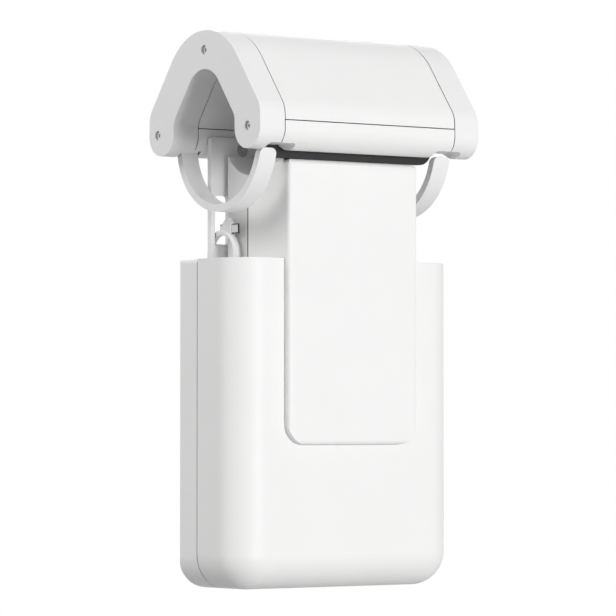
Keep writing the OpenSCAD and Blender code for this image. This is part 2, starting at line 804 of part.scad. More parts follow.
module circuit_board() {
    color("seagreen")
    difference() {
        union() {
            along_y(board_y, board_y + board_t)
                round_rect(-board_hw, board_hw, board_low, board_top, board_low_r, board_top_r);
            on_board(chip_x, chip_w, chip_w, chip_t, chip_drop);
            on_board(driver_x, driver_w, driver_h, driver_t, driver_drop);
            for (i = [0 : 2])
                on_board(chip_x - chip_w * (1 + 0.4 * i), chip_w / 5, chip_w * 0.4, chip_t * 0.6, chip_drop);
        }
        both_sides()
            for (z = [board_low + 5, board_top - 5])
                pin_y(board_hw - 5, z, board_y - eps, board_y + board_t + eps, 1.2);
    }
}

module charge_port() {
    color("silver")
    difference() {
        along_z(body_low + 0.3, board_low + 5) round_rect(-4.5, 4.5, port_y - 1.6, port_y + 1.6, 1.5, 1.5);
        along_z(body_low, board_low + 3) round_rect(-4.1, 4.1, port_y - 1.2, port_y + 1.2, 1.1, 1.1);
    }
}

module light_pipe() {
    color("ghostwhite")
    pin_z(light_x, button_y, body_low, board_low - run_gap, light_r);
}

// Upright strips that the back plate's tongue runs between
module plate_guides() {
    color("white")
    both_sides()
        block(tongue_hw + slide_gap, tongue_hw + slide_gap + guide_strip_t,
            body_back + run_gap, plate_back, guide_strip_low, guide_strip_top);
}

module cover_screws() {
    color("silver")
    both_sides()
        for (z = screw_zs) {
            pin_y(screw_x, z, screw_tip_y, body_back - screw_sink, screw_r);
            difference() {
                pin_y(screw_x, z, body_back - screw_sink, body_back - 0.6, screw_head_r);
                pin_y(screw_x, z, body_back - 1.6, body_back, 1);
            }
        }
}

module shoulder_screws() {
    color("silver")
    both_sides() {
        pin_y(screw_slot_x, screw_slot_z, neck_back_in - shoulder_screw_in, body_back, screw_r);
        pin_y(screw_slot_x, screw_slot_z, body_back, shoulder_head_y, collar_r);
        difference() {
            pin_y(screw_slot_x, screw_slot_z, shoulder_head_y, shoulder_head_y + shoulder_head_t,
                shoulder_head_r);
            pin_y(screw_slot_x, screw_slot_z, shoulder_head_y + shoulder_head_t - shoulder_socket,
                shoulder_head_y + shoulder_head_t + eps, shoulder_socket_r);
        }
    }
}

module guide_rods() {
    color("silver")
    both_sides() pin_z(guide_x, guide_y, foot_z, spring_top + 2.6, guide_r);
}

// Spring on the right-hand guide rod, as one helical tube
module spring() {
    rings = spring_turns * 8;
    sides = 6;
    low = spring_low + spring_wire_r + 0.1;
    high = spring_top - spring_wire_r - 0.1;
    points = [
        for (i = [0 : rings], j = [0 : sides - 1])
            let (turn = 360 * i / 8, around = 360 * j / sides, r = spring_r + spring_wire_r * cos(around))
            [r * cos(turn), r * sin(turn), low + (high - low) * i / rings + spring_wire_r * sin(around)]
    ];
    side_faces = [
        for (i = [0 : rings - 1], j = [0 : sides - 1])
            let (a = i * sides + j, b = i * sides + (j + 1) % sides)
            each [[a, a + sides, b], [b, a + sides, b + sides]]
    ];
    ends = [[for (j = [0 : sides - 1]) j], [for (j = [sides - 1 : -1 : 0]) rings * sides + j]];
    translate([guide_x, guide_y, 0]) polyhedron(points, concat(side_faces, ends));
}

module left_spring() {
    color("silver") mirror([1, 0, 0]) spring();
}

module right_spring() {
    color("silver") spring();
}

module saddle_cover() {
    color("white")
    difference() {
        along_x(-cover_hx, cover_hx) half_section(true, true);
        difference() {
            along_x(wall - cover_hx, cover_hx - wall)
                intersection() {
                    saddle_section(wall);
                    translate([-far, saddle_seam_z - eps]) square([2 * far, far]);
                }
            both_sides()
                for (s = [-1, 1])
                    block(roller_x - 4, roller_x + 4, s * cheek_y - 1, s * cheek_y + 1, 0, roller_z + 5);
        }
        both_sides() {
            block(roller_x - roller_room, roller_x + roller_room, -roller_w / 2 - 0.6, roller_w / 2 + 0.6,
                saddle_top_z, roller_z + roller_room);
            pin_y(roller_x, roller_z, -roller_w / 2 - 3.6, roller_w / 2 + 3.6, roller_axle_r + pin_gap);
        }
        cap_screw_holes();
    }
}

module front_rail() {
    color("white")
    difference() {
        along_x(-cover_hx, cover_hx) half_section(false, true);
        block(-lip_hw - seam, lip_hw + seam, lip_y0 - seam, 0, -far, lip_top + seam);
        tip_slot();
        cap_screw_holes();
    }
}

module rear_rail() {
    color("white")
    difference() {
        along_x(-cover_hx, cover_hx) half_section(false, false);
        block(-plate_top_hw - seam, plate_top_hw + seam, 0, plate_block_y, -far, plate_block_top + seam);
        both_sides()
            pin_y(plate_screw_x, plate_screw_z, plate_block_y - eps, plate_block_y + plate_screw_len + eps,
                plate_screw_r + run_gap);
        hinge_pocket();
        cap_screw_holes();
    }
}

// Right-hand end cap of the saddle
module end_cap() {
    color("whitesmoke")
    difference() {
        along_x(cover_hx + seam, saddle_hx) saddle_section(0);
        tip_slot();
        hinge_pocket();
        cap_screw_holes();
        for (p = screw_spots)
            pin_x(p[0], p[1], saddle_hx - cap_sink, saddle_hx + eps, cap_head_r + slide_gap / 2);
    }
}

module left_end_cap() {
    mirror([1, 0, 0]) end_cap();
}

module right_end_cap() {
    end_cap();
}

module cap_screws() {
    color("silver")
    both_sides()
        for (p = screw_spots) {
            pin_x(p[0], p[1], saddle_hx - cap_t - 4, saddle_hx - cap_sink, cap_screw_r);
            difference() {
                pin_x(p[0], p[1], saddle_hx - cap_sink, saddle_hx - 0.7, cap_head_r);
                pin_x(p[0], p[1], saddle_hx - 1.3, saddle_hx, 0.6);
            }
        }
}

module front_lip() {
    color("#303030")
    along_y(lip_y0, lip_y0 + lip_t)
        round_rect(-lip_hw, lip_hw, -lip_drop, lip_top, lip_r, 0.5);
}

// Upright slot of half width r from z0 to z1, with round ends
module upright_slot(r, z0, z1) {
    translate([-r, z0 + r]) square([2 * r, z1 - z0 - 2 * r]);
    translate([0, z0 + r]) circle(r = r);
    translate([0, z1 - r]) circle(r = r);
}

module back_plate() {
    color("white")
    union() {
        difference() {
            union() {
                along_y(plate_y, plate_back) {
                    round_rect(-ear_hw, ear_hw, -ear_low_drop, plate_block_top, plate_corner_r, 1);
                    round_rect(-tongue_hw, tongue_hw, -tongue_low, tongue_lap - ear_low_drop,
                        plate_corner_r, 1);
                }
                along_x(-plate_top_hw, plate_top_hw)
                    belt([[plate_y, -block_drop, 0], [plate_back, -block_drop, 0],
                        [plate_block_y, -block_drop + 3, 0], [plate_block_y, plate_block_top, 0],
                        [plate_y, plate_block_top, 0]]);
            }
            both_sides() {
                along_y(plate_y - eps, plate_back + eps) {
                    round_rect(slot_in_x, slot_out_x, slot_bar_z, -ear_slot_top, 0, 1.2);
                    translate([screw_slot_x, 0])
                        upright_slot(collar_room, screw_slot_z - lift - collar_room,
                            screw_slot_z + collar_room);
                }
                pin_y(plate_screw_x, plate_screw_z, plate_y - eps, plate_block_y + eps,
                    plate_screw_r + run_gap);
                pin_y(plate_screw_x, plate_screw_z, plate_y - eps, plate_head_y, 2 * plate_screw_r);
            }
            pin_y(0, crosshead_z + crosshead_h / 2, plate_y - eps, plate_back + eps,
                plate_screw_r + run_gap);
        }
        both_sides()
            pin_x(slot_bar_y, slot_bar_z, slot_in_x - eps, slot_out_x + eps, plate_t / 2 - run_gap);
    }
}

module plate_screws() {
    color("silver")
    both_sides() {
        pin_y(plate_screw_x, plate_screw_z, plate_head_y, plate_block_y + plate_screw_len, plate_screw_r);
        difference() {
            pin_y(plate_screw_x, plate_screw_z, plate_head_y - plate_head_t, plate_head_y,
                2 * plate_screw_r - run_gap);
            pin_y(plate_screw_x, plate_screw_z, plate_y, plate_y + 0.9, 0.8);
        }
    }
}

module crosshead() {
    z = crosshead_z;
    color("dimgray")
    difference() {
        union() {
            block(-guide_x, guide_x, gearbox_y1 + 0.6, neck_back_in - slide_gap, z, z + crosshead_h);
            both_sides()
                block(guide_x - foot_hw, guide_x + foot_hw, guide_y - foot_hw + slide_gap,
                    neck_back_in - slide_gap, z, z + crosshead_h);
            block(-crosshead_boss_hw, crosshead_boss_hw, gearbox_y1 + 1, plate_y, z, z + crosshead_h);
        }
        both_sides()
            pin_z(guide_x, guide_y, z - eps, z + crosshead_h + eps, guide_r + run_gap);
        pin_y(0, z + crosshead_h / 2, plate_y - plate_screw_len - eps, plate_y + eps,
            plate_screw_r + pin_gap);
    }
}

module crosshead_screw() {
    z = crosshead_z + crosshead_h / 2;
    color("silver")
    union() {
        pin_y(0, z, plate_y - plate_screw_len, plate_back, plate_screw_r);
        difference() {
            pin_y(0, z, plate_back, plate_back + plate_head_t, 2 * plate_screw_r);
            pin_y(0, z, plate_back + plate_head_t / 2, plate_back + 2, 0.9);
        }
    }
}

module roller_axles() {
    color("silver")
    both_sides()
        pin_y(roller_x, roller_z, -roller_w / 2 - 3.2, roller_w / 2 + 3.2, roller_axle_r);
}

module ring_pins() {
    color("silver")
    both_sides() pin_x(hinge_y, -hinge_drop, ring_x - 5.8, ring_x + 5.8, hinge_pin_r);
}

// Right-hand roller
module roller() {
    color("dimgray")
    translate([roller_x, 0, roller_z]) hollow_wheel(roller_r, roller_w, roller_axle_r + run_gap);
}

module left_roller() {
    mirror([1, 0, 0]) roller();
}

module right_roller() {
    roller();
}

// Right-hand ring
module ring() {
    color("whitesmoke")
    difference() {
        union() {
            intersection() {
                along_x(ring_x - ring_w / 2, ring_x + ring_w / 2)
                    difference() {
                        translate([0, -ring_drop]) circle(r = ring_out_r);
                        translate([0, -ring_drop]) circle(r = ring_in_r);
                        translate([0, -hinge_drop]) square(far);
                    }
                union() {
                    along_y(-far, 1)
                        translate([ring_x, 0])
                            round_rect(-ring_w / 2, ring_w / 2, -far, -tip_drop, 0.5, tip_r);
                    block(ring_x - ring_w, ring_x + ring_w, 0, far, -far, 0);
                }
            }
            pin_x(hinge_y, -hinge_drop, ring_x - ring_w / 2, ring_x + ring_w / 2, eye_r);
        }
        pin_x(hinge_y, -hinge_drop, ring_x - ring_w, ring_x + ring_w, hinge_pin_r + run_gap);
    }
}

module left_ring() {
    mirror([1, 0, 0]) ring();
}

module right_ring() {
    ring();
}

// Right-hand curtain hook: a wire bend over the slot's bar, with a pointed tab and a turned-up toe
module hook() {
    toe_r = 3;
    toe_z = -hook_drop - hook_leg;
    back_y = hook_y + hook_bend_r;
    tab_y = hook_y - 0.65 * tab_w;
    bend_top = hook_bend_r - hook_drop;
    color("white")
    translate([hook_x, 0, 0])
        union() {
            translate([0, hook_y, -hook_drop]) rotate([90, 0, 90])
                rotate_extrude(angle = 180) translate([hook_bend_r, 0]) circle(r = hook_wire_r);
            pin_z(0, hook_front_y, body_top + slide_gap, -hook_drop, hook_wire_r);
            pin_z(0, back_y, toe_z, -hook_drop, hook_wire_r);
            translate([0, back_y + toe_r, toe_z]) rotate([90, 180, 90])
                rotate_extrude(angle = 180) translate([toe_r, 0]) circle(r = hook_wire_r);
            pin_z(0, back_y + 2 * toe_r, toe_z, toe_z + 5, hook_wire_r);
            translate([0, back_y + 2 * toe_r, toe_z + 5]) sphere(hook_wire_r);
            along_x(-0.9, 0.9)
                belt([[tab_y - tab_w / 2, bend_top - 1, 0], [tab_y + tab_w / 2, bend_top - 1, 0],
                    [tab_y + tab_w / 2, bend_top + 0.6 * tab_h, 0], [tab_y, bend_top + tab_h, 0],
                    [tab_y - tab_w / 2, bend_top + 0.6 * tab_h, 0]]);
        }
}

module left_hook() {
    mirror([1, 0, 0]) hook();
}

module right_hook() {
    hook();
}

module wheel_hub() {
    color("darkgray")
    difference() {
        pin_y(0, wheel_z, -wheel_hy, wheel_hy, hub_r);
        pin_y(0, wheel_z, -wheel_hy - eps, wheel_hy + eps, axle_r + pin_gap);
        for (a = [0 : 60 : 300])
            pin_y(4.5 * cos(a), wheel_z + 4.5 * sin(a), -wheel_hy - eps, wheel_hy + eps, 1.4);
    }
}

module wheel_tyre() {
    color("#303030")
    translate([0, 0, wheel_z]) hollow_wheel(tyre_r, wheel_w, hub_r + pin_gap);
}

module wheel_axle() {
    color("silver")
    pin_y(0, wheel_z, front_plate_y0 - 0.3, rear_plate_y1, axle_r);
}

module wheel_gear() {
    color("ivory")
    difference() {
        union() {
            gear_y(wheel_teeth, wheel_z, -90);
            pin_y(0, wheel_z, gear_y1 - eps, -wheel_hy, 4);
        }
        pin_y(0, wheel_z, gear_y0 - eps, -wheel_hy + eps, axle_r + pin_gap);
    }
}

module idler_gear() {
    color("ivory")
    difference() {
        gear_y(idler_teeth, idler_z, 90 + 180 / idler_teeth);
        pin_y(0, idler_z, gear_y0 - eps, gear_y1 + eps, shaft_r + run_gap);
        for (a = [30 : 60 : 330])
            pin_y(5.2 * cos(a), idler_z + 5.2 * sin(a), gear_y0 - eps, gear_y1 + eps, 1.7);
    }
}

module output_pinion() {
    color("goldenrod")
    union() {
        gear_y(pinion_teeth, pinion_z, 90);
        pin_y(0, pinion_z, front_plate_y0, gearbox_y0 + pinion_in, shaft_r);
    }
}

module push_button() {
    color("white")
    union() {
        pin_z(button_x, button_y, body_low, body_low + wall + flange_t, button_r);
        pin_z(button_x, button_y, body_low + wall + run_gap, body_low + wall + flange_t, button_r + 0.5);
    }
}

front_shell();
rear_cover();
front_panel();
neck_shell();
drive_chassis();
gearbox_case();
motor_can();
idler_pin();
axle_bushes();
battery_tray();
battery_cells();
circuit_board();
charge_port();
light_pipe();
plate_guides();
cover_screws();
shoulder_screws();
guide_rods();
left_spring();
right_spring();
saddle_cover();
front_rail();
rear_rail();
left_end_cap();
right_end_cap();
cap_screws();
front_lip();
back_plate();
plate_screws();
crosshead();
crosshead_screw();
roller_axles();
ring_pins();
left_roller();
right_roller();
left_ring();
right_ring();
left_hook();
right_hook();
wheel_hub();
wheel_tyre();
wheel_axle();
wheel_gear();
idler_gear();
output_pinion();
push_button();
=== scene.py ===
"""Looks of the curtain robot: satin white shells, a dark lip, and the metal and rubber of its drive."""

import json
import math

import bmesh
import bpy
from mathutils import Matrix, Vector


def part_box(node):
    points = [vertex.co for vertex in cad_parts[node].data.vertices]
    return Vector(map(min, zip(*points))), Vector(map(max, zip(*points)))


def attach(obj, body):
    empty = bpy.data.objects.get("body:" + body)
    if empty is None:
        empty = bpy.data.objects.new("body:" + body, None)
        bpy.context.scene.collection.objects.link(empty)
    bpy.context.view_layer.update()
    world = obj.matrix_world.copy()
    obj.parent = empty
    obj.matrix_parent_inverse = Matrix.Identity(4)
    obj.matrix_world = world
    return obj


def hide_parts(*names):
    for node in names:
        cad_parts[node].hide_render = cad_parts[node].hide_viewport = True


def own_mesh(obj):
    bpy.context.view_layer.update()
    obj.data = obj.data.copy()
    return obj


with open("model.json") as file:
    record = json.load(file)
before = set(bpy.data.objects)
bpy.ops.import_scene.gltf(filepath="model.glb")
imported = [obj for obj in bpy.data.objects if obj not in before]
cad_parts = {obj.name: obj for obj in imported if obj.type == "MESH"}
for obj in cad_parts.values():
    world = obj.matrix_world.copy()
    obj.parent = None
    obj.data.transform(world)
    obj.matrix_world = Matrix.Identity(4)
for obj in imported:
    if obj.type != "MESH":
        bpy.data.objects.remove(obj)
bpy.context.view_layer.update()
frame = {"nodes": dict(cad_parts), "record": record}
MM = 0.001

# Colours are linear
WHITE = (0.885, 0.885, 0.880)
CAP_WHITE = (0.865, 0.865, 0.862)
# The neck's white plastic, darkened to this grey as painted shade
NECK_SHADED_WHITE = (0.74, 0.74, 0.74)
DARK = (0.028, 0.028, 0.030)
FRAME_GREY = (0.16, 0.16, 0.17)
RUBBER = (0.035, 0.035, 0.037)
STEEL = (0.62, 0.62, 0.63)
BRASS = (0.72, 0.55, 0.26)
ACETAL = (0.86, 0.85, 0.80)
SLEEVE = (0.10, 0.28, 0.48)
BOARD_GREEN = (0.03, 0.22, 0.10)
FROST = (0.85, 0.87, 0.88)

# Most of a noise lies between these values
NOISE_LOW = 0.3
NOISE_HIGH = 0.7

# Painted shade darkens the colour in gaps up to this deep and wide
GAP_REACH = 0.9 * MM
GAP_SHADE = 0.2
GAP_SAMPLES = 8


class Shader:
    """A material with one principled shader, and short calls for the nodes that feed it."""

    def __init__(self, name, color, roughness, metallic=0.0):
        self.material = bpy.data.materials.new(name)
        self.material.use_nodes = True
        self.nodes = self.material.node_tree.nodes
        self.links = self.material.node_tree.links
        self.shader = self.nodes["Principled BSDF"]
        self.shader.inputs["Base Color"].default_value = (*color, 1)
        self.shader.inputs["Roughness"].default_value = roughness
        self.shader.inputs["Metallic"].default_value = metallic
        self.color = color
        self.place = self.nodes.new("ShaderNodeTexCoord").outputs["Object"]

    def stretched(self, scale):
        """Object coordinates scaled along each axis."""
        node = self.nodes.new("ShaderNodeMapping")
        node.inputs["Scale"].default_value = scale
        self.links.new(self.place, node.inputs["Vector"])
        return node.outputs["Vector"]

    def noise(self, per_metre, detail=3.0, place=None):
        """Noise with a number of features per metre."""
        node = self.nodes.new("ShaderNodeTexNoise")
        node.inputs["Scale"].default_value = per_metre
        node.inputs["Detail"].default_value = detail
        self.links.new(place or self.place, node.inputs["Vector"])
        return node.outputs["Fac"]

    def span(self, value, low, high):
        """Stretches most of a noise over the values from low to high."""
        node = self.nodes.new("ShaderNodeMapRange")
        node.inputs["From Min"].default_value = NOISE_LOW
        node.inputs["From Max"].default_value = NOISE_HIGH
        node.inputs["To Min"].default_value = low
        node.inputs["To Max"].default_value = high
        self.links.new(value, node.inputs["Value"])
        return node.outputs["Result"]

    def tint(self, value, low, high):
        """Varies the base colour between two shades of itself."""
        node = self.nodes.new("ShaderNodeValToRGB")
        node.color_ramp.elements[0].position = NOISE_LOW
        node.color_ramp.elements[1].position = NOISE_HIGH
        for element, shade in zip(node.color_ramp.elements, (low, high)):
            element.color = (*[min(1.0, c * shade) for c in self.color], 1)
        self.links.new(value, node.inputs["Fac"])
        self.links.new(node.outputs["Color"], self.shader.inputs["Base Color"])

    def paint_gap_shade(self, reach, darkest):
        """Darkens the base colour inside gaps that are narrower than the reach, as painted shade."""
        openness = self.nodes.new("ShaderNodeAmbientOcclusion")
        openness.samples = GAP_SAMPLES
        openness.inputs["Distance"].default_value = reach
        scale = self.nodes.new("ShaderNodeVectorMath")
        scale.operation = "SCALE"
        base = self.shader.inputs["Base Color"]
        self.links.new(base.links[0].from_socket, scale.inputs[0])
        self.links.new(self.span(openness.outputs["AO"], darkest, 1.0), scale.inputs["Scale"])
        self.links.new(scale.outputs["Vector"], base)

    def rough(self, value, low, high):
        """Varies the roughness between low and high."""
        self.links.new(self.span(value, low, high), self.shader.inputs["Roughness"])

    def bump(self, value, depth, strength=0.3):
        """Raises the surface by up to a depth in metres."""
        node = self.nodes.new("ShaderNodeBump")
        node.inputs["Strength"].default_value = strength
        node.inputs["Distance"].default_value = depth
        self.links.new(value, node.inputs["Height"])
        self.links.new(node.outputs["Normal"], self.shader.inputs["Normal"])


def moulded(name, color, roughness, gap_shade=GAP_SHADE, gloss=0.5):
    """Satin moulded plastic: a fine spark-eroded grain, a faint cloud in the colour, and painted shade
    in narrow gaps.
    """
    m = Shader(name, color, roughness)
    m.shader.inputs["Specular IOR Level"].default_value = gloss
    cloud = m.noise(per_metre=55, detail=2)
    grain = m.noise(per_metre=3200, detail=4)
    m.tint(cloud, low=0.992, high=1.006)
    # Painted shade: the colour darkens in narrow gaps
    m.paint_gap_shade(GAP_REACH, gap_shade)
    m.rough(m.noise(per_metre=900), low=roughness - 0.04, high=roughness + 0.05)
    m.bump(grain, depth=0.03 * MM, strength=0.25)
    return m.material


def glass_filled(name, color):
    """Dark structural plastic with short pale fibres near its surface."""
    m = Shader(name, color, 0.55)
    fibres = m.noise(per_metre=1500, detail=6, place=m.stretched((1, 1, 0.35)))
    m.tint(fibres, low=0.75, high=1.35)
    m.rough(m.noise(per_metre=700), low=0.48, high=0.66)
    m.bump(m.noise(per_metre=2500, detail=5), depth=0.05 * MM, strength=0.4)
    return m.material


def brushed(name, color, roughness, along):
    """Turned or drawn metal, with fine lines along the axis that is scaled down."""
    m = Shader(name, color, roughness, 1.0)
    lines = m.noise(per_metre=900, detail=5, place=m.stretched(along))
    m.tint(lines, low=0.86, high=1.08)
    m.rough(lines, low=roughness - 0.06, high=roughness + 0.10)
    m.bump(lines, depth=0.02 * MM)
    return m.material


def soft_rubber(name, color):
    """Moulded rubber with a dusty bloom."""
    m = Shader(name, color, 0.72)
    m.tint(m.noise(per_metre=260, detail=5), low=0.8, high=1.5)
    m.rough(m.noise(per_metre=900), low=0.62, high=0.85)
    m.bump(m.noise(per_metre=1800, detail=4), depth=0.06 * MM, strength=0.4)
    return m.material


def shrink_sleeve(name, color):
    """Glossy heat-shrunk film with soft wrinkles along its length."""
    m = Shader(name, color, 0.26)
    wrinkles = m.noise(per_metre=140, place=m.stretched((1, 1, 0.2)))
    m.tint(m.noise(per_metre=120), low=0.9, high=1.12)
    m.rough(m.noise(per_metre=500), low=0.2, high=0.34)
    m.bump(wrinkles, depth=0.08 * MM)
    return m.material


def solder_mask(name, color):
    """Green board lacquer over rows of copper tracks."""
    m = Shader(name, color, 0.3)
    tracks = m.nodes.new("ShaderNodeTexBrick")
    sizes = {"Scale": 1.0, "Brick Width": 6 * MM, "Row Height": 1.3 * MM, "Mortar Size": 0.25 * MM}
    for socket, size in sizes.items():
        tracks.inputs[socket].default_value = size
    for socket, shade in {"Color1": 1.0, "Color2": 0.9, "Mortar": 1.7}.items():
        tracks.inputs[socket].default_value = (*[min(1.0, c * shade) for c in color], 1)
    upright = m.nodes.new("ShaderNodeMapping")
    upright.inputs["Rotation"].default_value = (math.radians(90), 0, 0)
    m.links.new(m.place, upright.inputs["Vector"])
    m.links.new(upright.outputs["Vector"], tracks.inputs["Vector"])
    m.links.new(tracks.outputs["Color"], m.shader.inputs["Base Color"])
    m.rough(m.noise(per_metre=600), low=0.24, high=0.38)
    m.bump(tracks.outputs["Fac"], depth=0.04 * MM)
    return m.material


def frosted(name, color):
    """Milky light guide."""
    m = Shader(name, color, 0.35)
    m.shader.inputs["Transmission Weight"].default_value = 0.45
    m.shader.inputs["IOR"].default_value = 1.49
    m.rough(m.noise(per_metre=1500), low=0.28, high=0.45)
    m.tint(m.noise(per_metre=400), low=0.96, high=1.03)
    return m.material


# Roughness of the outer mouldings
SATIN = 0.52

# One finish for each material slot
MATERIALS = {
    "white_shell": moulded("white_shell", WHITE, SATIN),
    "white_cap": moulded("white_cap", CAP_WHITE, SATIN),
    # The neck's grey is painted shade on white plastic
    "neck_grey": moulded("neck_grey", NECK_SHADED_WHITE, 0.48),
    "dark_plastic": moulded("dark_plastic", DARK, 0.5, gloss=0.25),
    "frame_plastic": glass_filled("frame_plastic", FRAME_GREY),
    "rubber": soft_rubber("rubber", RUBBER),
    "steel": brushed("steel", STEEL, 0.42, (1, 1, 0.08)),
    "brass": brushed("brass", BRASS, 0.28, (1, 0.08, 1)),
    "gear_plastic": moulded("gear_plastic", ACETAL, 0.36),
    "motor_metal": brushed("motor_metal", STEEL, 0.36, (1, 1, 0.05)),
    "cell_wrap": shrink_sleeve("cell_wrap", SLEEVE),
    "board": solder_mask("board", BOARD_GREEN),
    "light_guide": frosted("light_guide", FROST),
}

# Finishes of single nodes that differ from the rest of their slot
# The saddle's gaps get lighter painted shade than the rest
SADDLE_WHITE = moulded("saddle_white", WHITE, SATIN, gap_shade=0.55)
GLOSSY_HOOK = moulded("glossy_hook", WHITE, 0.16)
OWN_FINISH = {
    "saddle_cover": SADDLE_WHITE, "front_rail": SADDLE_WHITE, "rear_rail": SADDLE_WHITE,
    "left_hook": GLOSSY_HOOK, "right_hook": GLOSSY_HOOK,
}

# Width in millimetres of the small round on each node's edges
SMALL_EDGES = {
    "front_shell": 0.1, "rear_cover": 0.1, "front_panel": 0.15, "neck_shell": 0.15,
    "saddle_cover": 0.1, "front_rail": 0.1, "rear_rail": 0.1, "front_lip": 0.2,
    "left_end_cap": 0.12, "right_end_cap": 0.12,
    "back_plate": 0.25, "plate_guides": 0.25, "left_ring": 0.35, "right_ring": 0.35,
    "left_hook": 0.15, "right_hook": 0.15, "push_button": 0.25, "charge_port": 0.12, "crosshead": 0.2,
    "shoulder_screws": 0.2, "cover_screws": 0.2,
    "cap_screws": 0.1, "plate_screws": 0.1, "crosshead_screw": 0.15, "wheel_tyre": 0.3,
    "left_roller": 0.25, "right_roller": 0.25, "gearbox_case": 0.3, "motor_can": 0.25,
    "battery_cells": 0.4, "battery_tray": 0.3, "drive_chassis": 0.25,
}
SHARP = math.radians(38)
ROUND_STEPS = 3
# Points of a solid's faces closer than this are one point
SAME_POINT = 0.002 * MM


def round_edges(obj, width):
    """Rounds the sharp edges of a piece by a width in millimetres."""
    bevel = obj.modifiers.new("small_edges", "BEVEL")
    bevel.width = width * MM
    bevel.segments = ROUND_STEPS
    bevel.limit_method = "ANGLE"
    bevel.angle_limit = SHARP
    bevel.harden_normals = True


def dress_nodes():
    """Gives every solid its finish, and most of them a small round on their edges."""
    slots = {row["node"]: row["material_slot"] for row in frame["record"]["subparts"]}
    for name, node in frame["nodes"].items():
        node.data.materials.clear()
        node.data.materials.append(OWN_FINISH.get(name, MATERIALS[slots[name]]))
        if name in SMALL_EDGES:
            weld = node.modifiers.new("weld", "WELD")
            weld.merge_threshold = SAME_POINT
            round_edges(node, SMALL_EDGES[name])
            even = node.modifiers.new("even_shading", "WEIGHTED_NORMAL")
            even.keep_sharp = True


def new_piece(name, shape, slot, body):
    """Turns a bmesh into a smooth piece that rides on a body."""
    mesh = bpy.data.meshes.new(name)
    bmesh.ops.recalc_face_normals(shape, faces=shape.faces)
    shape.to_mesh(mesh)
    shape.free()
    mesh.shade_smooth()
    piece = bpy.data.objects.new(name, mesh)
    bpy.context.scene.collection.objects.link(piece)
    mesh.materials.append(MATERIALS[slot])
    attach(piece, body)
    return piece


SPRING_WIRE_R = 0.4 * MM
SPRING_TURNS = 16
CLOSED_TURNS = 1.5
STEPS_PER_TURN = 28
WIRE_SIDES = 10


def make_coil(name, node):
    """A wound spring with closed ends, in the place of the plain helix."""
    low, high = [Vector(corner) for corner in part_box(node)]
    middle = (low + high) / 2
    radius = (high.x - low.x) / 2 - SPRING_WIRE_R
    bottom = low.z + SPRING_WIRE_R
    closed = CLOSED_TURNS * 2 * SPRING_WIRE_R
    length = high.z - low.z
    pitch = (length - 2 * SPRING_WIRE_R - 2 * closed) / (SPRING_TURNS - 2 * CLOSED_TURNS)
    shape = bmesh.new()
    rings = []
    for step in range(SPRING_TURNS * STEPS_PER_TURN + 1):
        turn = step / STEPS_PER_TURN
        from_end = min(turn, SPRING_TURNS - turn, CLOSED_TURNS)
        open_turns = min(max(turn - CLOSED_TURNS, 0), SPRING_TURNS - 2 * CLOSED_TURNS)
        rise = open_turns * pitch + from_end * 2 * SPRING_WIRE_R
        if turn > SPRING_TURNS / 2:
            rise += 2 * (CLOSED_TURNS - from_end) * 2 * SPRING_WIRE_R
        angle = 2 * math.pi * turn
        ring = []
        for side in range(WIRE_SIDES):
            around = 2 * math.pi * side / WIRE_SIDES
            reach = radius + SPRING_WIRE_R * math.cos(around)
            height = bottom + rise + SPRING_WIRE_R * math.sin(around)
            ring.append(shape.verts.new(
                (middle.x + reach * math.cos(angle), middle.y + reach * math.sin(angle), height)))
        rings.append(ring)
    for ring, after in zip(rings, rings[1:]):
        for side in range(WIRE_SIDES):
            beside = (side + 1) % WIRE_SIDES
            shape.faces.new((ring[side], ring[beside], after[beside], after[side]))
    shape.faces.new(rings[0])
    shape.faces.new(rings[-1])
    piece = new_piece(name, shape, "steel", "body")
    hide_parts(node)
    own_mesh(piece)


def add_block(shape, low, high):
    """Adds a box between two corners to a bmesh."""
    corners = bmesh.ops.create_cube(shape, size=1.0)["verts"]
    middle = (Vector(low) + Vector(high)) / 2
    size = Vector(high) - Vector(low)
    for corner in corners:
        corner.co = Vector(c * s for c, s in zip(corner.co, size)) + middle


TONGUE_W = 6.6 * MM
TONGUE_T = 0.7 * MM
TONGUE_ROOT = 2.2 * MM
TONGUE_SET_BACK = 1.1 * MM
TONGUE_EDGE_MM = 0.15
CONTACTS = 6
CONTACT_W = 0.5 * MM
CONTACT_PITCH = 0.95 * MM
CONTACT_START = 0.4 * MM
CONTACT_END = 2.8 * MM
CONTACT_PROUD = 0.04 * MM
CONTACT_EDGE_MM = 0.03


def make_port_tongue():
    """The charging port's tongue, with a row of plated contacts on each face."""
    low, high = [Vector(corner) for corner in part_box("charge_port")]
    x = (low.x + high.x) / 2
    y = (low.y + high.y) / 2
    tip = low.z + TONGUE_SET_BACK
    half = Vector((TONGUE_W / 2, TONGUE_T / 2, 0))
    shape = bmesh.new()
    add_block(shape, Vector((x, y, tip)) - half, Vector((x, y, high.z - TONGUE_ROOT)) + half)
    tongue = new_piece("port_tongue", shape, "dark_plastic", "body")
    round_edges(tongue, TONGUE_EDGE_MM)
    shape = bmesh.new()
    skin = TONGUE_T / 2 + CONTACT_PROUD
    for i in range(CONTACTS):
        left = x + (i - (CONTACTS - 1) / 2) * CONTACT_PITCH - CONTACT_W / 2
        start = (left, y - skin, tip + CONTACT_START)
        add_block(shape, start, (left + CONTACT_W, y + skin, tip + CONTACT_END))
    contacts = new_piece("port_contacts", shape, "brass", "body")
    round_edges(contacts, CONTACT_EDGE_MM)


# Size of the dark strips that stand in each neck seam as painted shade
SHADE_STRIP_W = 0.6 * MM
SHADE_STRIP_PROUD = 0.25 * MM
SHADE_STRIP_IN_GAP = 0.15 * MM
SHADE_STRIP_BELOW_SEAT = 0.9 * MM
SHADE_STRIP_EDGE_MM = 0.1


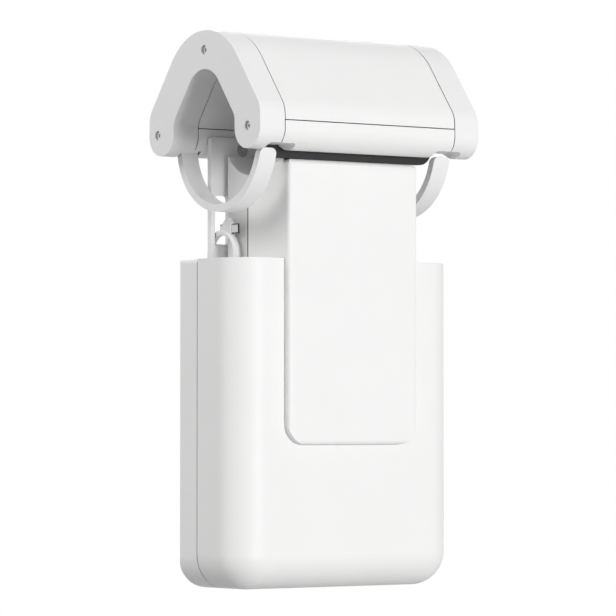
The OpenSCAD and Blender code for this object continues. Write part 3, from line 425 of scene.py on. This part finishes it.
def make_neck_shade_strips():
    """A thin dark strip in each side seam of the neck, between the panel's wall and the neck shell:
    painted shade for the shadow in the seam.
    """
    panel_high = Vector(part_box("front_panel")[1])
    neck_low, neck_high = [Vector(corner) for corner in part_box("neck_shell")]
    body_high = Vector(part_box("front_shell")[1])
    seat = next(m for m in frame["record"]["mounts"] if m["name"] == "rod_seat")
    front = panel_high.y + SHADE_STRIP_IN_GAP
    low = body_high.z - SHADE_STRIP_W
    top = -seat["dims"]["r_mm"] * MM - SHADE_STRIP_BELOW_SEAT
    shape = bmesh.new()
    for face in (neck_low.x, neck_high.x):
        add_block(shape, (face - SHADE_STRIP_PROUD, front, low), (face + SHADE_STRIP_PROUD, front + SHADE_STRIP_W, top))
    # The dark strips are painted shade in the seams
    shade_strips = new_piece("neck_shade_strips", shape, "dark_plastic", "body")
    round_edges(shade_strips, SHADE_STRIP_EDGE_MM)


CLIP_LEN = 10.0 * MM
CLIP_H = 3.1 * MM
CLIP_T = 0.5 * MM
# Width of the dark rim, painted shade around each pale face
CLIP_SHADE_RIM = 0.3 * MM
CLIP_SKIN = 0.15 * MM
CLIP_EDGE_MM = 0.1
CLIP_BELOW_TIP = 3.6 * MM
CLIP_FROM_FRONT = 4.65 * MM


def make_hook_clip(side):
    """The flat clip across a curtain hook's tab: a dark core whose edge shows around its two pale faces
    as a painted shade outline.
    """
    hook = side + "_hook"
    low, high = [Vector(corner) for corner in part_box(hook)]
    middle = Vector(((low.x + high.x) / 2, low.y + CLIP_FROM_FRONT, high.z - CLIP_BELOW_TIP))
    half = Vector((CLIP_T, CLIP_LEN, CLIP_H)) / 2
    shape = bmesh.new()
    add_block(shape, middle - half, middle + half)
    # The dark core's visible rim is painted shade along the faces' edges
    core = new_piece(side + "_clip_core", shape, "dark_plastic", hook)
    round_edges(core, CLIP_EDGE_MM)
    half += Vector((CLIP_SKIN, -CLIP_SHADE_RIM, -CLIP_SHADE_RIM))
    shape = bmesh.new()
    add_block(shape, middle - half, middle + half)
    faces = new_piece(side + "_clip_faces", shape, "white_cap", hook)
    round_edges(faces, CLIP_EDGE_MM)


def look_along(obj, forward):
    """Turns a camera or a lamp so that it looks along forward, with +Z up."""
    obj.rotation_mode = "QUATERNION"
    obj.rotation_quaternion = Vector(forward).to_track_quat("-Z", "Y")


CAMERA_PLACE = (-0.7587, -1.0035, -0.0938)
CAMERA_HEADING = (0.6018, 0.7986)
CAMERA_PITCH = math.radians(1.718)
SENSOR_MM = 36
LENS_MM = 228


def make_camera():
    """A long lens, a little below the saddle, that sees the robot's front and its left side."""
    data = bpy.data.cameras.new("camera")
    data.sensor_width = SENSOR_MM
    data.lens = LENS_MM
    camera = bpy.data.objects.new("camera", data)
    bpy.context.scene.collection.objects.link(camera)
    camera.location = CAMERA_PLACE
    level = math.cos(CAMERA_PITCH)
    look_along(camera, (*[way * level for way in CAMERA_HEADING], math.sin(CAMERA_PITCH)))
    bpy.context.scene.camera = camera


LAMP_AIM = (0, 0, -0.06)


def softbox(name, place, size, power):
    """A square area lamp that faces the middle of the robot."""
    data = bpy.data.lights.new(name, "AREA")
    data.size = size
    data.energy = power
    lamp = bpy.data.objects.new(name, data)
    bpy.context.scene.collection.objects.link(lamp)
    lamp.location = place
    look_along(lamp, Vector(LAMP_AIM) - Vector(place))


def seen_directly(tree):
    """1 for rays that show the background: from the camera, a reflection or a clear piece."""
    path = tree.nodes.new("ShaderNodeLightPath")
    total = path.outputs["Is Camera Ray"]
    for ray in ("Is Glossy Ray", "Is Transmission Ray"):
        largest = tree.nodes.new("ShaderNodeMath")
        largest.operation = "MAXIMUM"
        tree.links.new(total, largest.inputs[0])
        tree.links.new(path.outputs[ray], largest.inputs[1])
        total = largest.outputs[0]
    return total


PLAIN_WHITE = (1, 1, 1, 1)
SKY = 0.41
FLOOR_Z = -0.34
FLOOR_RADIUS = 3.0
FLOOR_SIDES = 96
# The floor as the robot's light meets it, and as it is seen
FLOOR_BOUNCE = (0.38, 0.38, 0.38, 1)
FLOOR_SEEN = (0.94, 0.94, 0.94, 1)
FLOOR_EVENNESS = 0.7


def make_world():
    """Even light from all round, in front of a white background."""
    world = bpy.data.worlds.new("studio")
    bpy.context.scene.world = world
    world.use_nodes = True
    tree = world.node_tree
    lighting = tree.nodes["Background"]
    lighting.inputs["Color"].default_value = PLAIN_WHITE
    lighting.inputs["Strength"].default_value = SKY
    backdrop = tree.nodes.new("ShaderNodeBackground")
    backdrop.inputs["Color"].default_value = PLAIN_WHITE
    mix = tree.nodes.new("ShaderNodeMixShader")
    tree.links.new(seen_directly(tree), mix.inputs["Fac"])
    tree.links.new(lighting.outputs[0], mix.inputs[1])
    tree.links.new(backdrop.outputs[0], mix.inputs[2])
    tree.links.new(mix.outputs[0], tree.nodes["World Output"].inputs["Surface"])


def make_floor():
    """A round pale floor well below the robot, which hangs in use."""
    mesh = bpy.data.meshes.new("floor")
    shape = bmesh.new()
    bmesh.ops.create_circle(shape, cap_ends=True, segments=FLOOR_SIDES, radius=FLOOR_RADIUS)
    shape.to_mesh(mesh)
    shape.free()
    floor = bpy.data.objects.new("floor", mesh)
    bpy.context.scene.collection.objects.link(floor)
    floor.location = (0, 0, FLOOR_Z)
    material = bpy.data.materials.new("floor")
    material.use_nodes = True
    tree = material.node_tree
    tree.nodes.remove(tree.nodes["Principled BSDF"])
    bounced = tree.nodes.new("ShaderNodeBsdfDiffuse")
    bounced.inputs["Color"].default_value = FLOOR_BOUNCE
    shaded = tree.nodes.new("ShaderNodeBsdfDiffuse")
    shaded.inputs["Color"].default_value = FLOOR_SEEN
    even = tree.nodes.new("ShaderNodeEmission")
    even.inputs["Color"].default_value = PLAIN_WHITE
    pale = tree.nodes.new("ShaderNodeMixShader")
    pale.inputs["Fac"].default_value = FLOOR_EVENNESS
    tree.links.new(shaded.outputs[0], pale.inputs[1])
    tree.links.new(even.outputs[0], pale.inputs[2])
    mix = tree.nodes.new("ShaderNodeMixShader")
    tree.links.new(seen_directly(tree), mix.inputs["Fac"])
    tree.links.new(bounced.outputs[0], mix.inputs[1])
    tree.links.new(pale.outputs[0], mix.inputs[2])
    tree.links.new(mix.outputs[0], tree.nodes["Material Output"].inputs["Surface"])
    mesh.materials.append(material)


dress_nodes()
for side in ("left", "right"):
    make_coil(f"{side}_coil", f"{side}_spring")
    make_hook_clip(side)
make_port_tongue()
make_neck_shade_strips()
make_camera()
make_world()
make_floor()
softbox("key", place=(0.06, -1.6, -0.04), size=0.6, power=16.2)
softbox("back", place=(0.9, 1.4, 0.4), size=0.8, power=7.5)
softbox("fill", place=(-1.12, 0.42, 0.92), size=1.1, power=11.4)
bpy.context.scene.view_settings.view_transform = "Standard"
